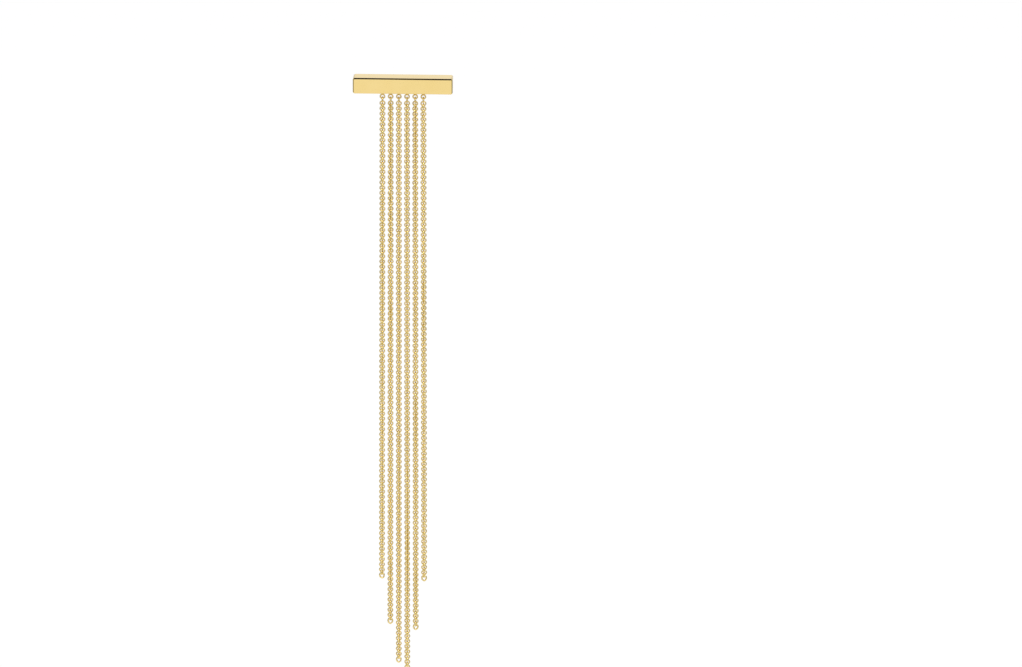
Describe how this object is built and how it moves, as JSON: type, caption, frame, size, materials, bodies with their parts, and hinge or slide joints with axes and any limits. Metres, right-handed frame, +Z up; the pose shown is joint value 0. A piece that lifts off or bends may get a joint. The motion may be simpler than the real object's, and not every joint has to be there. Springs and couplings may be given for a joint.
{
  "type": "dangle earring",
  "caption": "Drop earring: a plain polished bar on an ear post, with a fringe of fine round-link chains of stepped lengths hanging from rings soldered under it.",
  "frame": {"origin": "centre of the ear post where it leaves the bar's back face", "axes": "+Z up along the hanging chains, -Y is the front that is seen when worn, +Y along the ear post towards its tip, +X to the right when looking at the front"},
  "size_m": [0.0192, 0.0115, 0.1198],
  "materials": {
    "gold_plate": "polished pale gold plate"
  },
  "bodies": {
    "root": {"bar": "gold_plate", "chain_1": "gold_plate", "chain_2": "gold_plate", "chain_3": "gold_plate", "chain_4": "gold_plate", "chain_5": "gold_plate", "chain_6": "gold_plate"}
  },
  "joints": []
}
